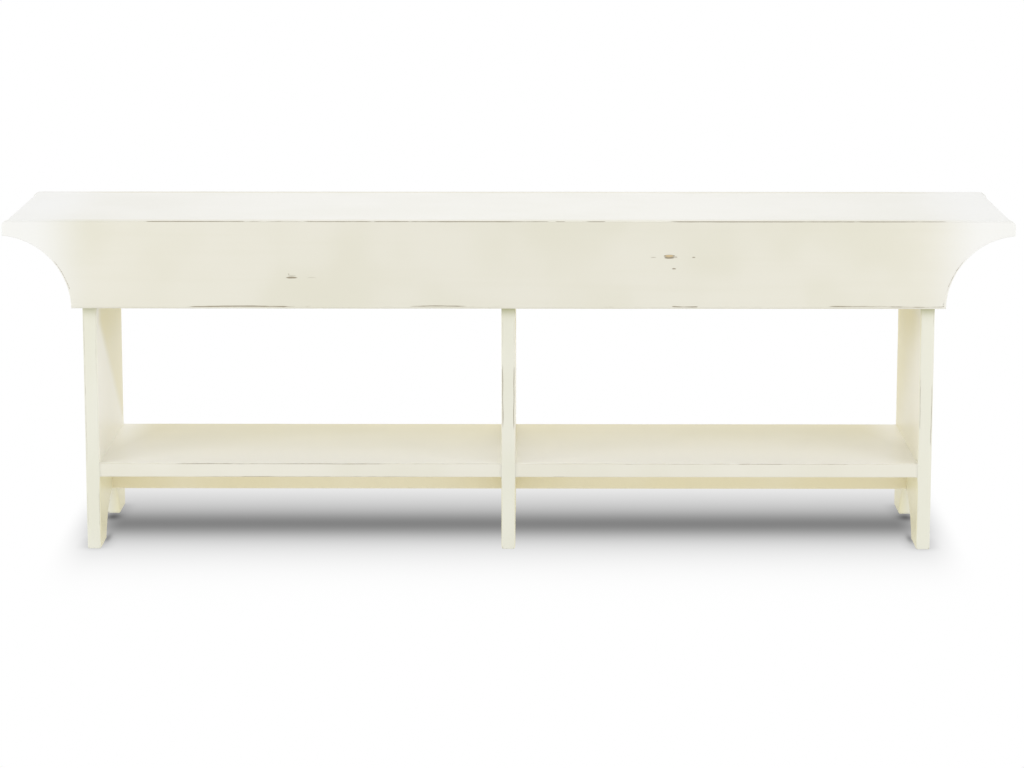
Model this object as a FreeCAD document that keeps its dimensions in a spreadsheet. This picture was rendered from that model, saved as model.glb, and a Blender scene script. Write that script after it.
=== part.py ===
import FreeCAD, Part
import os
import Sketcher

# A bucket bench of painted pine boards. A plank seat lies between two deep aprons
# with coved ends. Three plank legs carry it, each with an arched foot, and a low
# shelf fills each bay, housed in the legs, over a stretcher on edge.
# Millimetres. X runs along the bench, Y from the front to the back and Z up.
# The origin is on the floor, under the middle of the seat.

# Driving dimensions
SIZES = {
    "overall_length": 1372,
    "overall_height": 458,
    "board_stock": 19,
    "edge_ease": 2,
    "apron_height": 120,
    "cove_radius": 100,
    "cove_beyond_tip": 8,
    "tip_round": 8,
    "seat_inset": 6,
    "end_overhang": 105,
    "leg_depth": 286,
    "foot_width": 60,
    "arch_rise": 54,
    "shelf_height": 120,
    "tongue_thickness": 12,
    "dado_depth": 6,
    "dado_clearance": 0.2,
    "stretcher_height": 45,
    "cleat_size": 28,
    "cleat_length": 230,
    "nail_length": 50,
    "nail_diameter": 2.5,
    "nail_head_diameter": 3.6,
    "nail_head_height": 1.2,
    "nail_point": 4,
    "nail_set": 1,
    "screw_length": 38,
    "screw_diameter": 4.2,
    "screw_head_diameter": 8,
    "screw_head_height": 3,
    "screw_head_bevel": 1,
    "screw_slot": 1.2,
    "screw_point": 6,
    "shelf_bite": 12,
    "counterbore_diameter": 10,
    "bore_clearance": 0.1,
    "overrun": 5,
}

# Places of the nails and screws, as shares of the piece that they run along
SEAT_NAIL_SHARES = (-0.455, -0.325, -0.195, -0.065, 0.065, 0.195, 0.325, 0.455)
LEG_NAIL_SHARES = (0.25, 0.6)
SHELF_NAIL_SHARES = (-0.36, 0, 0.36)
STRETCHER_NAIL_SHARES = (0.25, 0.75)
STRETCHER_SCREW_SHARES = (-0.32, 0, 0.32)
CLEAT_SCREW_SHARES = (-0.35, 0.35)
SEAT_SCREW_SHARES = (-0.22, 0.22)

doc = FreeCAD.newDocument("bucket_bench")
sheet = doc.addObject("Spreadsheet::Sheet", "Sizes")
for row, (alias, size) in enumerate(SIZES.items(), start=1):
    sheet.set(f"A{row}", alias)
    sheet.set(f"B{row}", str(size))
    sheet.setAlias(f"B{row}", alias)
doc.recompute()

# Lines that several pieces share, as expressions on the sheet
LENGTH = "Sizes.overall_length"
STOCK = "Sizes.board_stock"
DEPTH = "Sizes.leg_depth"
APRON = "Sizes.apron_height"
RAIL = "Sizes.stretcher_height"
CLEAT = "Sizes.cleat_size"
FRONT = f"({DEPTH} / 2)"
REAR = f"(-{DEPTH} / 2)"
SEAT_UNDERSIDE = f"(Sizes.overall_height - {STOCK})"
APRON_FOOT = f"(Sizes.overall_height - {APRON})"
SHELF_UNDERSIDE = f"(Sizes.shelf_height - {STOCK})"
TONGUE_MIDDLE = f"({SHELF_UNDERSIDE} + Sizes.tongue_thickness / 2)"
RAIL_UNDERSIDE = f"({SHELF_UNDERSIDE} - {RAIL})"
SEAT_LENGTH = f"({LENGTH} - 2 * Sizes.seat_inset)"
LEG_FACE = f"({LENGTH} / 2 - Sizes.end_overhang)"
LEG_CENTRE = f"({LEG_FACE} - {STOCK} / 2)"
BAY_LENGTH = f"({LEG_CENTRE} - {STOCK})"
BAY_CENTRE = f"({LEG_CENTRE} / 2)"
SHELF_LENGTH = f"({BAY_LENGTH} + 2 * (Sizes.dado_depth - Sizes.dado_clearance))"

# Lines that the nails and screws share with their bores
NAIL_BORE = "(Sizes.nail_diameter + 2 * Sizes.bore_clearance)"
NAIL_STEP = (
    "(Sizes.nail_head_diameter + 2 * Sizes.bore_clearance)",
    "(Sizes.nail_set + Sizes.nail_head_height)",
)
NAIL_END = "(Sizes.nail_set + Sizes.nail_length)"
NAIL_REACH = f"({NAIL_END} - {STOCK})"
SHELF_NAIL_REACH = f"({NAIL_REACH} + Sizes.dado_depth - Sizes.dado_clearance)"
SCREW_BORE = "(Sizes.screw_diameter + 2 * Sizes.bore_clearance)"
SCREW_STEP = (
    "Sizes.counterbore_diameter",
    f"({RAIL} + Sizes.shelf_bite - Sizes.screw_length)",
)
CLEAT_REACH = f"(Sizes.screw_length - {CLEAT})"
LEFT_CLEAT = f"(-{LEG_FACE} + {STOCK} + {CLEAT} / 2)"
CENTRE_CLEAT = f"({STOCK} / 2 + {CLEAT} / 2)"
RIGHT_CLEAT = f"({LEG_FACE} - {STOCK} - {CLEAT} / 2)"

# Spots of the nails and screws, as expressions across and up the faces they enter
SEAT_NAIL_ROW = [f"{share} * {LENGTH}" for share in SEAT_NAIL_SHARES]
LEG_NAIL_ROW = [f"{share} * {APRON}" for share in LEG_NAIL_SHARES]
SHELF_NAIL_ROW = [f"{share} * {DEPTH}" for share in SHELF_NAIL_SHARES]
RAIL_NAIL_ROW = [f"{share} * {RAIL}" for share in STRETCHER_NAIL_SHARES]
RAIL_SCREW_ROW = [f"{share} * {BAY_LENGTH}" for share in STRETCHER_SCREW_SHARES]
CLEAT_SCREW_ROW = [f"{share} * Sizes.cleat_length" for share in CLEAT_SCREW_SHARES]
SEAT_SCREW_ROW = [f"{share} * Sizes.cleat_length" for share in SEAT_SCREW_SHARES]
APRON_NAIL_SPOTS = [(across, f"{APRON} - {STOCK} / 2") for across in SEAT_NAIL_ROW] + [
    (across, up) for across in (f"-{LEG_CENTRE}", "0", LEG_CENTRE) for up in LEG_NAIL_ROW
]


def value(expression):
    """The size in millimetres that an expression on the sheet stands for."""
    return float(sheet.evalExpression(expression))


# Sketches
def new_body(label):
    """An empty body for one piece, labelled with the piece's name."""
    body = doc.addObject("PartDesign::Body", f"{label}_body")
    body.Label = label
    return body


def new_sketch(body, name, role, offset="0"):
    """A sketch on one of the body's own origin planes, moved along the plane's normal."""
    sketch = body.newObject("Sketcher::SketchObject", f"{body.Label}_{name}")
    plane = next(item for item in body.Origin.OriginFeatures if item.Role == role)
    sketch.AttachmentSupport = (plane, [""])
    sketch.MapMode = "FlatFace"
    sketch.setExpression("AttachmentOffset.Base.z", offset)
    return sketch


def dimension(sketch, name, expression, kind, *where):
    """A named dimension of a sketch that follows an expression on the sheet."""
    index = sketch.addConstraint(Sketcher.Constraint(kind, *where, value(expression)))
    sketch.renameConstraint(index, name)
    sketch.setExpression(f"Constraints.{name}", expression)


def tie(sketch, *rules):
    """Geometric constraints, each as its kind and the points that it joins."""
    for rule in rules:
        sketch.addConstraint(Sketcher.Constraint(*rule))


def add_line(sketch, start, end):
    """A straight edge from its two end points."""
    edge = Part.LineSegment(FreeCAD.Vector(*start, 0), FreeCAD.Vector(*end, 0))
    sketch.addGeometry(edge, False)


def add_arc(sketch, start, middle, end):
    """A round edge through three points."""
    points = [FreeCAD.Vector(*point, 0) for point in (start, middle, end)]
    sketch.addGeometry(Part.Arc(*points), False)


def rectangle(sketch, width, height, low=None):
    """A rectangle across the vertical axis, about the origin or with its lower edge at low."""
    half = value(width) / 2
    base = value(low) if low else -value(height) / 2
    top = base + value(height)
    corners = [(-half, base), (half, base), (half, top), (-half, top)]
    for start, end in zip(corners, corners[1:] + corners[:1]):
        add_line(sketch, start, end)
    tie(sketch, *(("Coincident", side, 2, (side + 1) % 4, 1) for side in range(4)))
    tie(sketch, ("Horizontal", 2), ("Vertical", 1), ("Vertical", 3))
    if low:
        tie(sketch, ("Symmetric", 0, 1, 0, 2, -2))
        dimension(sketch, "low", low, "DistanceY", -1, 1, 0, 1)
    else:
        tie(sketch, ("Symmetric", 0, 1, 2, 1, -1, 1), ("Horizontal", 0))
    dimension(sketch, "width", width, "DistanceX", 0, 1, 0, 2)
    dimension(sketch, "height", height, "DistanceY", 1, 1, 1, 2)


# Features
def pad(body, sketch, length):
    """The solid that a sketch sweeps along its plane's normal."""
    feature = body.newObject("PartDesign::Pad", f"{body.Label}_pad")
    feature.Profile = sketch
    feature.setExpression("Length", length)
    doc.recompute()


def pocket(body, sketch, name, depth, into_normal=False):
    """A recess cut from a sketch, against its plane's normal or along it."""
    before = body.Shape.Volume
    feature = body.newObject("PartDesign::Pocket", f"{body.Label}_{name}")
    feature.Profile = sketch
    feature.setExpression("Length", depth)
    feature.Reversed = into_normal
    doc.recompute()
    assert body.Shape.Volume < before, f"{feature.Name} cuts nothing"


def ease_edges(body, chosen):
    """Rounds the arrises that chosen picks, as a plane and sandpaper leave them."""
    base = body.Tip
    names = [f"Edge{i}" for i, edge in enumerate(base.Shape.Edges, start=1) if chosen(edge)]
    feature = body.newObject("PartDesign::Fillet", f"{body.Label}_eased")
    feature.Base = (base, names)
    feature.setExpression("Radius", "Sizes.edge_ease")
    doc.recompute()


def bores(body, name, role, spots, diameter, offset="0", depth=None, step=None, into_normal=False):
    """Round bores at the spots of one face, through the piece or to a depth, with a
    wider step for the heads where one is given as its diameter and depth."""
    before = body.Shape.Volume
    sketch = new_sketch(body, f"{name}_spots", role, offset)
    for i, (across, up) in enumerate(spots):
        centre = FreeCAD.Vector(value(across), value(up), 0)
        circle = Part.Circle(centre, FreeCAD.Vector(0, 0, 1), value(diameter) / 2)
        sketch.addGeometry(circle, False)
        dimension(sketch, f"across_{i}", across, "DistanceX", -1, 1, i, 3)
        dimension(sketch, f"up_{i}", up, "DistanceY", -1, 1, i, 3)
        dimension(sketch, f"width_{i}", diameter, "Diameter", i)
    doc.recompute()
    hole = body.newObject("PartDesign::Hole", f"{body.Label}_{name}")
    hole.Profile = sketch
    doc.recompute()
    hole.DrillPoint = "Flat"
    hole.setExpression("Diameter", diameter)
    hole.Reversed = into_normal
    hole.DepthType = "Dimension" if depth else "ThroughAll"
    if depth:
        hole.setExpression("Depth", depth)
    if step:
        hole.HoleCutType = "Counterbore"
        hole.setExpression("HoleCutDiameter", step[0])
        hole.setExpression("HoleCutDepth", step[1])
    doc.recompute()
    assert body.Shape.Volume < before, f"{hole.Name} cuts nothing"


def place(body, x="0", y="0", z="0", turned=False):
    """Sets a piece where it stands, turned half round about Z where it is the far twin."""
    if turned:
        half_turn = FreeCAD.Rotation(FreeCAD.Vector(0, 0, 1), 180)
        body.Placement = FreeCAD.Placement(FreeCAD.Vector(), half_turn)
    for axis, expression in zip("xyz", (x, y, z)):
        body.setExpression(f"Placement.Base.{axis}", expression)
    return body


def lies_at(edge, axis, *levels):
    """Whether an edge lies wholly in the plane at one of the levels on an axis."""
    points = [vertex.Point for vertex in edge.Vertexes] + [edge.CenterOfMass]
    near = Part.Precision.confusion()
    return any(
        all(abs(getattr(point, axis) - level) < near for point in points) for level in levels
    )


# The seat is one wide board. It lies between the aprons, which are nailed to its long
# edges, and it is screwed from below through a cleat at each leg.
def seat_board():
    body = new_body("seat_board")
    outline = new_sketch(body, "outline", "XY_Plane")
    rectangle(outline, SEAT_LENGTH, DEPTH)
    pad(body, outline, STOCK)
    end, top = value(SEAT_LENGTH) / 2, value(STOCK)
    ease_edges(body, lambda edge: lies_at(edge, "x", -end, end) and lies_at(edge, "z", 0, top))
    nails = [(across, f"{STOCK} / 2") for across in SEAT_NAIL_ROW]
    bores(body, "front_nail_bores", "XZ_Plane", nails, NAIL_BORE, FRONT, NAIL_REACH)
    bores(body, "rear_nail_bores", "XZ_Plane", nails, NAIL_BORE, REAR, NAIL_REACH, into_normal=True)
    screws = [(x, y) for x in (LEFT_CLEAT, CENTRE_CLEAT, RIGHT_CLEAT) for y in SEAT_SCREW_ROW]
    bores(body, "screw_bores", "XY_Plane", screws, SCREW_BORE, depth=CLEAT_REACH, into_normal=True)
    return place(body, z=SEAT_UNDERSIDE)


# Each apron is a deep board on edge, flush with the top of the seat. Its ends reach past
# the legs to a blunt tip, rounded above and coved below. The rear one is the same board
# turned round.
def apron_outline(sketch):
    half, rise = value(LENGTH) / 2, value(APRON)
    radius, beyond, rounding = (
        value(f"Sizes.{name}") for name in ("cove_radius", "cove_beyond_tip", "tip_round")
    )
    tip = (radius**2 - beyond**2) ** 0.5
    foot = half + beyond - radius
    slant = radius * 0.5**0.5
    crest = rounding * (1 - 0.5**0.5)
    cove = (half + beyond - slant, slant)
    corner = (half - crest, rise - crest)
    add_line(sketch, (-foot, 0), (foot, 0))
    add_arc(sketch, (foot, 0), cove, (half, tip))
    add_line(sketch, (half, tip), (half, rise - rounding))
    add_arc(sketch, (half, rise - rounding), corner, (half - rounding, rise))
    add_line(sketch, (half - rounding, rise), (rounding - half, rise))
    add_arc(sketch, (rounding - half, rise), (-corner[0], corner[1]), (-half, rise - rounding))
    add_line(sketch, (-half, rise - rounding), (-half, tip))
    add_arc(sketch, (-half, tip), (-cove[0], cove[1]), (-foot, 0))
    bottom, right_cove, right_tip, right_round, top, left_round, left_tip, left_cove = range(8)
    tie(
        sketch,
        ("Coincident", bottom, 2, right_cove, 2),
        ("Coincident", right_cove, 1, right_tip, 1),
        ("Coincident", right_tip, 2, right_round, 1),
        ("Coincident", right_round, 2, top, 1),
        ("Coincident", top, 2, left_round, 1),
        ("Coincident", left_round, 2, left_tip, 1),
        ("Coincident", left_tip, 2, left_cove, 2),
        ("Coincident", left_cove, 1, bottom, 1),
        ("Horizontal", top),
        ("Vertical", right_tip),
        ("Vertical", left_tip),
        ("Vertical", right_round, 3, right_round, 2),
        ("Horizontal", right_round, 3, right_round, 1),
        ("Vertical", left_round, 3, left_round, 1),
        ("Horizontal", left_round, 3, left_round, 2),
        ("Equal", right_cove, left_cove),
        ("Equal", right_round, left_round),
        ("PointOnObject", bottom, 1, -1),
        ("Symmetric", bottom, 1, bottom, 2, -2),
        ("PointOnObject", right_cove, 3, -1),
        ("PointOnObject", left_cove, 3, -1),
    )
    dimension(sketch, "right_half", f"{LENGTH} / 2", "DistanceX", -1, 1, right_tip, 1)
    dimension(sketch, "left_half", f"{LENGTH} / 2", "DistanceX", left_tip, 1, -1, 1)
    dimension(sketch, "rise", APRON, "DistanceY", bottom, 1, top, 2)
    dimension(sketch, "beyond", "Sizes.cove_beyond_tip", "DistanceX", right_tip, 1, right_cove, 3)
    dimension(sketch, "cove", "Sizes.cove_radius", "Radius", right_cove)
    dimension(sketch, "rounding", "Sizes.tip_round", "Radius", right_round)
    return tip


def apron(label, y, turned):
    body = new_body(label)
    outline = new_sketch(body, "outline", "XZ_Plane")
    tip = apron_outline(outline)
    pad(body, outline, STOCK)
    face = -value(STOCK)

    def showing(edge):
        low = max(vertex.Z for vertex in edge.Vertexes) < tip + Part.Precision.confusion()
        return lies_at(edge, "y", face) or (lies_at(edge, "y", 0) and low)

    bores(body, "nail_bores", "XZ_Plane", APRON_NAIL_SPOTS, NAIL_BORE, STOCK, step=NAIL_STEP)
    ease_edges(body, lambda edge: showing(edge) and not edge.isClosed())
    return place(body, y=y, z=APRON_FOOT, turned=turned)


# Each leg is a plank on end, as deep as the seat board. An arch cut in its foot leaves
# two feet, and a dado across its face houses the tongue of the shelf.
def leg_outline(sketch):
    half, top = value(DEPTH) / 2, value(SEAT_UNDERSIDE)
    inner, rise = half - value("Sizes.foot_width"), value("Sizes.arch_rise")
    add_line(sketch, (-half, 0), (-inner, 0))
    add_arc(sketch, (inner, 0), (0, rise), (-inner, 0))
    add_line(sketch, (inner, 0), (half, 0))
    add_line(sketch, (half, 0), (half, top))
    add_line(sketch, (half, top), (-half, top))
    add_line(sketch, (-half, top), (-half, 0))
    front_foot, arch, rear_foot, rear, head, front = range(6)
    tie(
        sketch,
        ("Coincident", front_foot, 2, arch, 2),
        ("Coincident", arch, 1, rear_foot, 1),
        ("Coincident", rear_foot, 2, rear, 1),
        ("Coincident", rear, 2, head, 1),
        ("Coincident", head, 2, front, 1),
        ("Coincident", front, 2, front_foot, 1),
        ("Vertical", rear),
        ("Vertical", front),
        ("Horizontal", head),
        ("Horizontal", front_foot),
        ("PointOnObject", front_foot, 1, -1),
        ("PointOnObject", rear_foot, 1, -1),
        ("PointOnObject", rear_foot, 2, -1),
    )
    dimension(sketch, "rear_half", FRONT, "DistanceX", -1, 1, rear, 1)
    dimension(sketch, "front_half", FRONT, "DistanceX", front, 2, -1, 1)
    dimension(sketch, "front_width", "Sizes.foot_width", "DistanceX", front_foot, 1, front_foot, 2)
    dimension(sketch, "rear_width", "Sizes.foot_width", "DistanceX", rear_foot, 1, rear_foot, 2)
    dimension(sketch, "tall", SEAT_UNDERSIDE, "DistanceY", rear, 1, rear, 2)
    span = f"({FRONT} - Sizes.foot_width)"
    radius = f"({span} ^ 2 + Sizes.arch_rise ^ 2) / (2 * Sizes.arch_rise)"
    dimension(sketch, "arch", radius, "Radius", arch)


def cross_cut(body, name, offset, low, tall, into_normal):
    """A cut as deep as a dado right across a board, from a plane at an offset along X."""
    groove = new_sketch(body, f"{name}_outline", "YZ_Plane", offset)
    rectangle(groove, f"({DEPTH} + 2 * Sizes.overrun)", tall, low)
    pocket(body, groove, name, "Sizes.dado_depth", into_normal)


def dado(body, name, offset, into_normal):
    tall = "(Sizes.tongue_thickness + Sizes.dado_clearance)"
    cross_cut(body, name, offset, SHELF_UNDERSIDE, tall, into_normal)


def leg_panel(label):
    """A leg with its dado and bores on the face at the far end of its thickness."""
    body = new_body(label)
    outline = new_sketch(body, "outline", "YZ_Plane")
    leg_outline(outline)
    pad(body, outline, STOCK)
    far, top = value(STOCK), value(SEAT_UNDERSIDE)
    ease_edges(body, lambda edge: lies_at(edge, "x", 0, far) and not lies_at(edge, "z", 0, top))
    dado(body, "dado", STOCK, into_normal=False)
    nails = [(f"{STOCK} / 2", f"{APRON_FOOT} + {up}") for up in LEG_NAIL_ROW]
    bores(body, "front_nail_bores", "XZ_Plane", nails, NAIL_BORE, FRONT, NAIL_REACH)
    bores(body, "rear_nail_bores", "XZ_Plane", nails, NAIL_BORE, REAR, NAIL_REACH, into_normal=True)
    screws = [(across, f"{SEAT_UNDERSIDE} - {CLEAT} / 2") for across in CLEAT_SCREW_ROW]
    bores(body, "cleat_screw_bores", "YZ_Plane", screws, SCREW_BORE, STOCK, CLEAT_REACH)
    return body


def end_panel(label, x, turned):
    body = leg_panel(label)
    nails = [(across, TONGUE_MIDDLE) for across in SHELF_NAIL_ROW]
    nails += [("0", f"{RAIL_UNDERSIDE} + {up}") for up in RAIL_NAIL_ROW]
    bores(body, "end_nail_bores", "YZ_Plane", nails, NAIL_BORE, step=NAIL_STEP, into_normal=True)
    return place(body, x=x, turned=turned)


def centre_panel():
    body = leg_panel("centre_panel")
    dado(body, "second_dado", "0", into_normal=True)
    return place(body, x=f"-{STOCK} / 2")


# Each shelf is one board, flush with the edges of the legs. Rabbets across its top leave a
# tongue at each end, glued into a dado, and nails through the end panel hold its outer end.
def shelf(label, x, turned):
    body = new_body(label)
    outline = new_sketch(body, "outline", "XY_Plane")
    rectangle(outline, SHELF_LENGTH, DEPTH)
    pad(body, outline, STOCK)
    side, top = value(DEPTH) / 2, value(STOCK)
    ease_edges(body, lambda edge: lies_at(edge, "y", -side, side) and lies_at(edge, "z", 0, top))
    tongue = "Sizes.tongue_thickness"
    tall = f"({STOCK} - {tongue} + Sizes.overrun)"
    cross_cut(body, "outer_rabbet", f"-{BAY_LENGTH} / 2", tongue, tall, into_normal=False)
    cross_cut(body, "inner_rabbet", f"{BAY_LENGTH} / 2", tongue, tall, into_normal=True)
    nails = [(across, f"{tongue} / 2") for across in SHELF_NAIL_ROW]
    end = f"-{SHELF_LENGTH} / 2"
    bores(body, "nail_bores", "YZ_Plane", nails, NAIL_BORE, end, SHELF_NAIL_REACH, into_normal=True)
    screws, bite = [(across, "0") for across in RAIL_SCREW_ROW], "Sizes.shelf_bite"
    bores(body, "screw_bores", "XY_Plane", screws, SCREW_BORE, depth=bite, into_normal=True)
    return place(body, x=x, z=SHELF_UNDERSIDE, turned=turned)


# Each stretcher stands on edge between two legs, under the middle of a shelf. Sunk screws
# draw the shelf down to it, and nails through the end panel hold its outer end.
def stretcher(label, x, turned):
    body = new_body(label)
    outline = new_sketch(body, "outline", "XY_Plane")
    rectangle(outline, BAY_LENGTH, STOCK)
    pad(body, outline, RAIL)
    side = value(STOCK) / 2
    ease_edges(body, lambda edge: lies_at(edge, "y", -side, side) and lies_at(edge, "z", 0))
    nails = [("0", up) for up in RAIL_NAIL_ROW]
    end = f"-{BAY_LENGTH} / 2"
    bores(body, "nail_bores", "YZ_Plane", nails, NAIL_BORE, end, NAIL_REACH, into_normal=True)
    screws = [(across, "0") for across in RAIL_SCREW_ROW]
    bores(body, "screw_bores", "XY_Plane", screws, SCREW_BORE, step=SCREW_STEP, into_normal=True)
    return place(body, x=x, z=RAIL_UNDERSIDE, turned=turned)


# Each cleat is a square batten in the corner of a leg and the seat, screwed to both.
def seat_cleat(label, x, turned):
    body = new_body(label)
    outline = new_sketch(body, "outline", "XY_Plane")
    rectangle(outline, CLEAT, "Sizes.cleat_length")
    pad(body, outline, CLEAT)
    side = value(CLEAT) / 2
    ease_edges(body, lambda edge: lies_at(edge, "x", side) and lies_at(edge, "z", 0))
    leg_screws = [(across, f"{CLEAT} / 2") for across in CLEAT_SCREW_ROW]
    bores(body, "leg_screw_bores", "YZ_Plane", leg_screws, SCREW_BORE, f"{CLEAT} / 2")
    seat_screws = [("0", across) for across in SEAT_SCREW_ROW]
    bores(body, "seat_screw_bores", "XY_Plane", seat_screws, SCREW_BORE, into_normal=True)
    return place(body, x=x, z=f"{SEAT_UNDERSIDE} - {CLEAT}", turned=turned)


# The nails are finish nails, set a little below the face. The screws are slotted wood
# screws with flat-bottomed heads. Both are turned shapes, with the screw threads left out.
def turned_shape(*profile):
    """The solid that a closed profile of radius and height makes about the Z axis."""
    points = [FreeCAD.Vector(radius, 0, height) for radius, height in profile]
    face = Part.Face(Part.makePolygon(points + points[:1]))
    return face.revolve(FreeCAD.Vector(), FreeCAD.Vector(0, 0, 1), 360)


def nail():
    """A nail that points down, with the top of its head at the origin."""
    shank, head = value("Sizes.nail_diameter") / 2, value("Sizes.nail_head_diameter") / 2
    under, tip = -value("Sizes.nail_head_height"), -value("Sizes.nail_length")
    point = tip + value("Sizes.nail_point")
    return turned_shape((0, 0), (head, 0), (head, under), (shank, under), (shank, point), (0, tip))


def screw():
    """A screw that points down, with the underside of its head at the origin."""
    shank, head = value("Sizes.screw_diameter") / 2, value("Sizes.screw_head_diameter") / 2
    top, tip = value("Sizes.screw_head_height"), -value("Sizes.screw_length")
    bevel, cut = value("Sizes.screw_head_bevel"), value("Sizes.screw_slot")
    point = tip + value("Sizes.screw_point")
    solid = turned_shape(
        (0, top),
        (head - bevel, top),
        (head, top - bevel),
        (head, 0),
        (shank, 0),
        (shank, point),
        (0, tip),
    )
    corner = FreeCAD.Vector(-head, -cut / 2, top - cut)
    return solid.cut(Part.makeBox(2 * head, cut, cut, corner))


def fasteners(label, solid, spots, direction):
    """Like fasteners as one group, each with its origin at a spot, driven one way or,
    where a spot gives a fourth entry, that way."""
    copies = []
    for x, y, z, *way in spots:
        turn = FreeCAD.Rotation(FreeCAD.Vector(0, 0, -1), FreeCAD.Vector(*(way or direction)))
        spot = FreeCAD.Placement(FreeCAD.Vector(value(x), value(y), value(z)), turn)
        copies.append(solid.transformed(spot.toMatrix(), True))
    group = doc.addObject("Part::Feature", f"{label}_group")
    group.Label = label
    group.Shape = Part.makeCompound(copies)
    group.Placement = FreeCAD.Placement()
    return group


def apron_nails(label, side):
    """The nails of one apron, through it into the seat and the legs, seen from side -1 or 1."""
    face = f"{side} * ({FRONT} + {STOCK} - Sizes.nail_set)"
    spots = [(across, face, f"{APRON_FOOT} + {up}") for across, up in APRON_NAIL_SPOTS]
    return fasteners(label, nail(), spots, (0, -side, 0))


def end_nails(label, side, spots):
    """The nails through one end panel, at spots across and up it, on side -1 or 1."""
    face = f"{side} * ({LEG_FACE} - Sizes.nail_set)"
    return fasteners(label, nail(), [(face, across, up) for across, up in spots], (-side, 0, 0))


def cleat_screws():
    height = f"{SEAT_UNDERSIDE} - {CLEAT} / 2"
    faces = (
        (f"{LEFT_CLEAT} + {CLEAT} / 2", -1),
        (f"{CENTRE_CLEAT} + {CLEAT} / 2", -1),
        (f"{RIGHT_CLEAT} - {CLEAT} / 2", 1),
    )
    spots = [(face, across, height, way, 0, 0) for face, way in faces for across in CLEAT_SCREW_ROW]
    return fasteners("cleat_screws", screw(), spots, None)


def seat_screws():
    foot = f"{SEAT_UNDERSIDE} - {CLEAT}"
    middles = (LEFT_CLEAT, CENTRE_CLEAT, RIGHT_CLEAT)
    spots = [(middle, across, foot) for middle in middles for across in SEAT_SCREW_ROW]
    return fasteners("seat_screws", screw(), spots, (0, 0, 1))


def stretcher_screws():
    foot = f"{RAIL_UNDERSIDE} + {SCREW_STEP[1]}"
    middles = (f"-{BAY_CENTRE}", BAY_CENTRE)
    spots = [(f"{middle} + {along}", "0", foot) for middle in middles for along in RAIL_SCREW_ROW]
    return fasteners("stretcher_screws", screw(), spots, (0, 0, 1))


SHELF_NAIL_SPOTS = [(across, TONGUE_MIDDLE) for across in SHELF_NAIL_ROW]
RAIL_NAIL_SPOTS = [("0", f"{RAIL_UNDERSIDE} + {up}") for up in RAIL_NAIL_ROW]
pieces = [
    seat_board(),
    apron("front_apron", f"-{FRONT}", turned=False),
    apron("rear_apron", FRONT, turned=True),
    end_panel("left_end_panel", f"-{LEG_FACE}", turned=False),
    end_panel("right_end_panel", LEG_FACE, turned=True),
    centre_panel(),
    shelf("left_shelf", f"-{BAY_CENTRE}", turned=False),
    shelf("right_shelf", BAY_CENTRE, turned=True),
    stretcher("left_stretcher", f"-{BAY_CENTRE}", turned=False),
    stretcher("right_stretcher", BAY_CENTRE, turned=True),
    seat_cleat("left_seat_cleat", LEFT_CLEAT, turned=False),
    seat_cleat("centre_seat_cleat", CENTRE_CLEAT, turned=False),
    seat_cleat("right_seat_cleat", RIGHT_CLEAT, turned=True),
    apron_nails("front_apron_nails", -1),
    apron_nails("rear_apron_nails", 1),
    end_nails("left_shelf_nails", -1, SHELF_NAIL_SPOTS),
    end_nails("right_shelf_nails", 1, SHELF_NAIL_SPOTS),
    end_nails("left_stretcher_nails", -1, RAIL_NAIL_SPOTS),
    end_nails("right_stretcher_nails", 1, RAIL_NAIL_SPOTS),
    cleat_screws(),
    seat_screws(),
    stretcher_screws(),
]
doc.recompute()

for item in doc.Objects:
    assert not {"Invalid", "Error"} & set(item.State), f"{item.Label} failed"
for piece in pieces:
    assert not piece.Shape.isNull() and piece.Shape.isValid(), f"{piece.Label} is not sound"

os.makedirs("parts", exist_ok=True)
for piece in pieces:
    piece.Shape.exportStep(f"parts/{piece.Label}.step")
    box = piece.Shape.optimalBoundingBox()
    sides = [round(side) for side in (box.XLength, box.YLength, box.ZLength)]
    print(piece.Label, len(piece.Shape.Solids), sides)
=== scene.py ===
import math

import bpy
import numpy as np
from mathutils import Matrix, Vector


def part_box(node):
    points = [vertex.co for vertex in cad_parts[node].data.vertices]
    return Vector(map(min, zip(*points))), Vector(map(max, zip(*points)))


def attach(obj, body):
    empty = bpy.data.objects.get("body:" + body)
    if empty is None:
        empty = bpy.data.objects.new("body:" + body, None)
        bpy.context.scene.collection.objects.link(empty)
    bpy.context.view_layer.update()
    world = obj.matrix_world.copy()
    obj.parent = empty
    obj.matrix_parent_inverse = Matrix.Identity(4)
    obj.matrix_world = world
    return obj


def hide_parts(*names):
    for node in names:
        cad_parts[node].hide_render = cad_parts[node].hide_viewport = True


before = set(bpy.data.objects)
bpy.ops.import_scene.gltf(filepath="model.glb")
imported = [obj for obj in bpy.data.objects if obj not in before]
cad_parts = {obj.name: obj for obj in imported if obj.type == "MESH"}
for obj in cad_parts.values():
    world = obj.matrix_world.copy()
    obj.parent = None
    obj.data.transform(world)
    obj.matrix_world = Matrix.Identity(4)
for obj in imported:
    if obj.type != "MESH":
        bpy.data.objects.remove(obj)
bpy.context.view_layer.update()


# The three legs are pine planks on end, one at each end and one in the middle. The arch
# between the two feet of each is sawn, and the arrises are sanded round before the shelves
# and the seat are joined to them. The bench is painted after it is put together.
X, Y, Z = range(3)  # The world axes by number
FOOT_WIDTH = 0.060
ARCH_RISE = 0.054
LEG_EASE = 0.0025
JOINT_EASE = 0.0003
JOINT_REACH = 0.012

# Steps of the meshes: along a leg, in the sums that space a board's points, over an arch,
# round an arris and near the edges of a board
LEG_STEP = 0.004
FINE_STEPS = 6000
ARCH_STEPS = 40
QUARTER_STEPS = 6
EDGE_ROWS = (0.0012, 0.003, 0.006)
EDGE_ROWS_REACH = 0.009

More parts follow.
